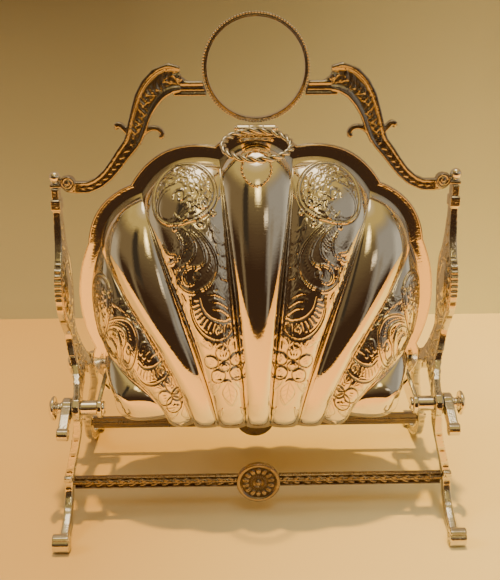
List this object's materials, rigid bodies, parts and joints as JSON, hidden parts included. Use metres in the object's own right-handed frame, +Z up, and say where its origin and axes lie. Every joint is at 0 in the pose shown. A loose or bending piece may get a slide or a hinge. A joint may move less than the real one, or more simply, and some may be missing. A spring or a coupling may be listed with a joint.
{
  "type": "folding biscuit box",
  "caption": "Silver-plated folding biscuit box: fluted shell halves that open outwards on pins in a cast stand with an arched, ringed handle.",
  "frame": {"origin": "on the table, midway between the four feet", "axes": "+X to the viewer's right along the hinge pins, +Y from the front half to the rear half, +Z up"},
  "size_m": [0.2564, 0.1552, 0.3047],
  "materials": {
    "polished_silver": "polished silver plate with warm tarnish",
    "cast_silver": "cast and chased, dark in the recesses",
    "grille_silver": "pierced sheet, lightly gilt",
    "plated_fittings": "plain turned pins and lugs"
  },
  "bodies": {
    "stand": {"left_side_frame": "cast_silver", "right_side_frame": "cast_silver", "left_standard": "cast_silver", "right_standard": "cast_silver", "left_handle_arm": "cast_silver", "right_handle_arm": "cast_silver", "carrying_ring": "cast_silver", "front_stretcher": "cast_silver", "rear_stretcher": "cast_silver", "front_rosette": "cast_silver", "rear_rosette": "cast_silver", "front_left_scroll_arm": "cast_silver", "front_right_scroll_arm": "cast_silver", "rear_left_scroll_arm": "cast_silver", "rear_right_scroll_arm": "cast_silver", "left_finial": "polished_silver", "right_finial": "polished_silver", "front_left_spacer_tube": "polished_silver", "front_left_collar": "polished_silver", "front_left_knob": "polished_silver", "front_right_spacer_tube": "polished_silver", "front_right_collar": "polished_silver", "front_right_knob": "polished_silver", "rear_left_spacer_tube": "polished_silver", "rear_left_collar": "polished_silver", "rear_left_knob": "polished_silver", "rear_right_spacer_tube": "polished_silver", "rear_right_collar": "polished_silver", "rear_right_knob": "polished_silver", "front_left_pivot_pin": "plated_fittings", "front_right_pivot_pin": "plated_fittings", "rear_left_pivot_pin": "plated_fittings", "rear_right_pivot_pin": "plated_fittings"},
    "front_shell_half": {"front_shell": "polished_silver", "front_left_ear": "polished_silver", "front_left_grille_lug": "plated_fittings", "front_right_ear": "polished_silver", "front_right_grille_lug": "plated_fittings", "front_grille_pin": "plated_fittings", "lift_ring_bracket": "polished_silver", "lift_ring_pin": "plated_fittings"},
    "rear_shell_half": {"rear_shell": "polished_silver", "rear_left_ear": "polished_silver", "rear_left_grille_lug": "plated_fittings", "rear_right_ear": "polished_silver", "rear_right_grille_lug": "plated_fittings", "rear_grille_pin": "plated_fittings"},
    "front_grille_leaf": {"front_grille": "grille_silver"},
    "rear_grille_leaf": {"rear_grille": "grille_silver"},
    "rope_ring": {"lift_ring": "polished_silver"}
  },
  "joints": [
    {"name": "front_shell_hinge", "type": "hinge", "parent": "stand", "child": "front_shell_half", "pos_m": [0, -0.032, 0.0747], "axis": [1, 0, 0], "range_deg": [0, 88]},
    {"name": "rear_shell_hinge", "type": "hinge", "parent": "stand", "child": "rear_shell_half", "pos_m": [0, 0.032, 0.0747], "axis": [-1, 0, 0], "range_deg": [0, 88]},
    {"name": "front_grille_hinge", "type": "hinge", "parent": "front_shell_half", "child": "front_grille_leaf", "pos_m": [0, -0.004, 0.081], "axis": [-1, 0, 0], "range_deg": [0, 80]},
    {"name": "rear_grille_hinge", "type": "hinge", "parent": "rear_shell_half", "child": "rear_grille_leaf", "pos_m": [0, 0.004, 0.081], "axis": [1, 0, 0], "range_deg": [0, 80]},
    {"name": "lift_ring_hinge", "type": "hinge", "parent": "front_shell_half", "child": "rope_ring", "pos_m": [0, -0.0048, 0.2402], "axis": [-1, 0, 0], "range_deg": [0, 70]}
  ],
  "couplings": [
    {"joint": "front_grille_hinge", "follows": "front_shell_hinge", "ratio": 0.9},
    {"joint": "rear_grille_hinge", "follows": "rear_shell_hinge", "ratio": 0.9}
  ]
}
